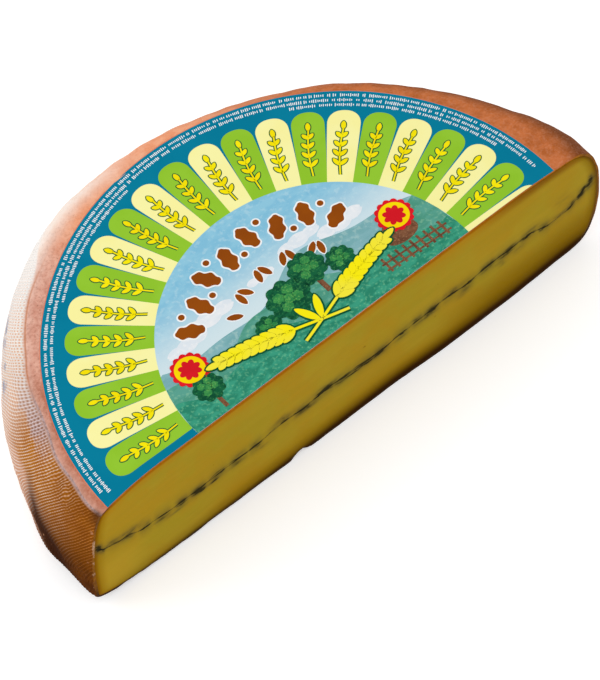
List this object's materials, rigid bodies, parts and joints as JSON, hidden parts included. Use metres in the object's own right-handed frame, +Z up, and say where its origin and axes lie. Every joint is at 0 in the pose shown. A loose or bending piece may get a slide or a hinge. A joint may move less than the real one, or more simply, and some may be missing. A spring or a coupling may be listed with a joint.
{
  "type": "morbier half wheel",
  "caption": "Half of a pressed cheese wheel lying flat, cut straight through to show the pale paste and its dark ash line, with a half round paper label on top",
  "frame": {"origin": "under the middle of the half wheel's bounding box, on the flat base", "axes": "+X along the cut, +Y from the cut into the cheese, so the cut faces -Y, +Z up with the label on top"},
  "size_m": [0.3338, 0.1694, 0.0763],
  "materials": {
    "paste": "semi-matte",
    "rind": "matte",
    "ash": "matte",
    "label_print": "semi-gloss"
  },
  "bodies": {
    "root": {"paste_lower": "paste", "ash_layer": "ash", "paste_upper": "paste", "label": "label_print"}
  },
  "joints": []
}
